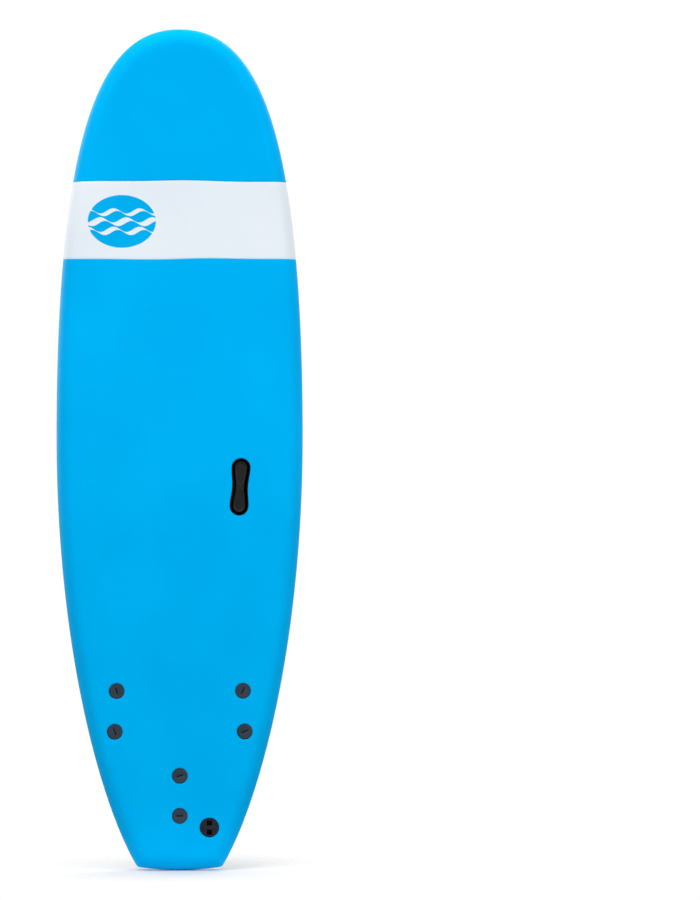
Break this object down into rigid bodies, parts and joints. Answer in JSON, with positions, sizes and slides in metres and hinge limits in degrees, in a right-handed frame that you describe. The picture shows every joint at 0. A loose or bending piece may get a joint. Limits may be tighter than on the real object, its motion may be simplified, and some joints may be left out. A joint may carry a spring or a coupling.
{
  "type": "soft-top surfboard",
  "caption": "Foam surfboard with rounded nose, squared tail, slick bottom, carry handle, leash plug and fins held by bolts through the board.",
  "frame": {"origin": "middle of the flat centre of the bottom, on the centre line, halfway along the board", "axes": "+Z towards the nose, +Y out of the bottom, -Y out of the deck, +X to the right when facing the deck with the nose up"},
  "size_m": [0.539, 0.2331, 1.8288],
  "materials": {
    "blue_foam_skin": "matte",
    "white_foam_skin": "matte",
    "foam_core": "matte",
    "block_foam": "matte",
    "bottom_foam": "matte",
    "stringer_wood": "matte",
    "slick_bottom": "satin",
    "seam_strip": "satin",
    "fin_plastic": "satin",
    "bolt_plastic": "satin",
    "tube_plastic": "satin",
    "insert_brass": "satin",
    "plug_plastic": "satin",
    "cap_plastic": "satin",
    "cup_plastic": "satin",
    "strap_rubber": "matte"
  },
  "bodies": {
    "board": {"deck_skin_nose": "blue_foam_skin", "deck_skin_band": "white_foam_skin", "deck_skin_main": "blue_foam_skin", "core_left": "foam_core", "core_centre": "foam_core", "core_right_nose": "foam_core", "handle_block": "block_foam", "core_right_middle": "foam_core", "leash_block": "block_foam", "stringer_left": "stringer_wood", "stringer_right": "stringer_wood", "slick_skin": "slick_bottom", "bottom_foam": "bottom_foam", "rail_seam_strip": "seam_strip", "tail_seam_strip": "seam_strip", "tube_left_front": "tube_plastic", "tube_left_rear": "tube_plastic", "tube_right_front": "tube_plastic", "tube_right_rear": "tube_plastic", "tube_centre_front": "tube_plastic", "tube_centre_rear": "tube_plastic", "leash_cup": "plug_plastic", "leash_cap": "cap_plastic", "handle_cup": "cup_plastic", "handle_strap": "strap_rubber"},
    "fin_left": {"fin_left": "fin_plastic", "insert_left_front": "insert_brass", "insert_left_rear": "insert_brass"},
    "bolt_left_front": {"bolt_left_front": "bolt_plastic"},
    "bolt_left_rear": {"bolt_left_rear": "bolt_plastic"},
    "fin_right": {"fin_right": "fin_plastic", "insert_right_front": "insert_brass", "insert_right_rear": "insert_brass"},
    "bolt_right_front": {"bolt_right_front": "bolt_plastic"},
    "bolt_right_rear": {"bolt_right_rear": "bolt_plastic"},
    "fin_centre": {"fin_centre": "fin_plastic", "insert_centre_front": "insert_brass", "insert_centre_rear": "insert_brass"},
    "bolt_centre_front": {"bolt_centre_front": "bolt_plastic"},
    "bolt_centre_rear": {"bolt_centre_rear": "bolt_plastic"}
  },
  "joints": [
    {"name": "bolt_left_front_turn", "type": "hinge", "parent": "board", "child": "bolt_left_front", "pos_m": [-0.13756, -0.05044, -0.52484], "axis": [0, -0.9979, 0.065], "range_deg": [0, 2790]},
    {"name": "bolt_left_rear_turn", "type": "hinge", "parent": "board", "child": "bolt_left_rear", "pos_m": [-0.14144, -0.0562, -0.61337], "axis": [0, -0.9979, 0.065], "range_deg": [0, 2790]},
    {"name": "fin_left_release", "type": "slide", "parent": "board", "child": "fin_left", "axis": [0, 0.9979, -0.065], "range_m": [0, 0.0136]},
    {"name": "bolt_right_front_turn", "type": "hinge", "parent": "board", "child": "bolt_right_front", "pos_m": [0.13756, -0.05044, -0.52484], "axis": [0, -0.9979, 0.065], "range_deg": [0, 2790]},
    {"name": "bolt_right_rear_turn", "type": "hinge", "parent": "board", "child": "bolt_right_rear", "pos_m": [0.14144, -0.0562, -0.61337], "axis": [0, -0.9979, 0.065], "range_deg": [0, 2790]},
    {"name": "fin_right_release", "type": "slide", "parent": "board", "child": "fin_right", "axis": [0, 0.9979, -0.065], "range_m": [0, 0.0136]},
    {"name": "bolt_centre_front_turn", "type": "hinge", "parent": "board", "child": "bolt_centre_front", "pos_m": [0, -0.06388, -0.70949], "axis": [0, -0.9956, 0.0939], "range_deg": [0, 2790]},
    {"name": "bolt_centre_rear_turn", "type": "hinge", "parent": "board", "child": "bolt_centre_rear", "pos_m": [0, -0.07204, -0.796], "axis": [0, -0.9956, 0.0939], "range_deg": [0, 2790]},
    {"name": "fin_centre_release", "type": "slide", "parent": "board", "child": "fin_centre", "axis": [0, 0.9956, -0.0939], "range_m": [0, 0.0136]}
  ],
  "couplings": [
    {"joint": "bolt_left_rear_turn", "follows": "bolt_left_front_turn", "ratio": 1},
    {"joint": "fin_left_release", "follows": "bolt_left_front_turn", "m_per_rad": 0.00027852},
    {"joint": "bolt_right_rear_turn", "follows": "bolt_right_front_turn", "ratio": 1},
    {"joint": "fin_right_release", "follows": "bolt_right_front_turn", "m_per_rad": 0.00027852},
    {"joint": "bolt_centre_rear_turn", "follows": "bolt_centre_front_turn", "ratio": 1},
    {"joint": "fin_centre_release", "follows": "bolt_centre_front_turn", "m_per_rad": 0.00027852}
  ]
}
